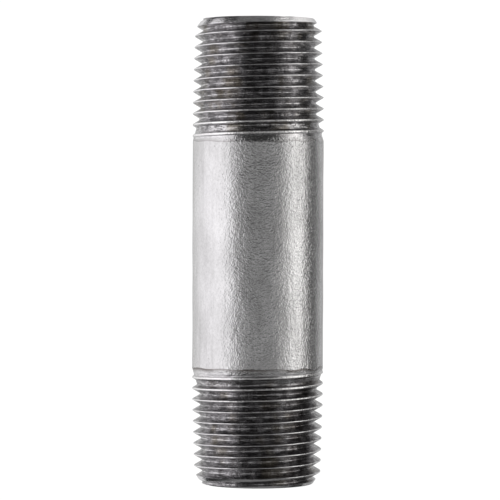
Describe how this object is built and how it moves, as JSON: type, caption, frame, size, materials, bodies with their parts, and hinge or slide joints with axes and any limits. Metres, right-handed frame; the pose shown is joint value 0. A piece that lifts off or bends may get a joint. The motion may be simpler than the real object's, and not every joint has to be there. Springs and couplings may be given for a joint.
{
  "type": "threaded pipe nipple",
  "caption": "Straight length of galvanised steel pipe with an outside taper pipe thread on each end, for joining two female-threaded fittings.",
  "frame": {"origin": "centre of the lower end face, on the pipe's axis", "axes": "+Z along the pipe's axis towards the upper end; +X and +Y across the pipe"},
  "size_m": [0.0214, 0.0214, 0.0762],
  "materials": {
    "cut_steel": "freshly die-cut steel, dark with cutting oil",
    "outer_zinc": "satin hot-dip galvanised, faint orange peel",
    "bore_zinc": "dull hot-dip galvanised"
  },
  "bodies": {
    "root": {"steel_pipe": "cut_steel", "outer_zinc_coat": "outer_zinc", "bore_zinc_coat": "bore_zinc"}
  },
  "joints": []
}
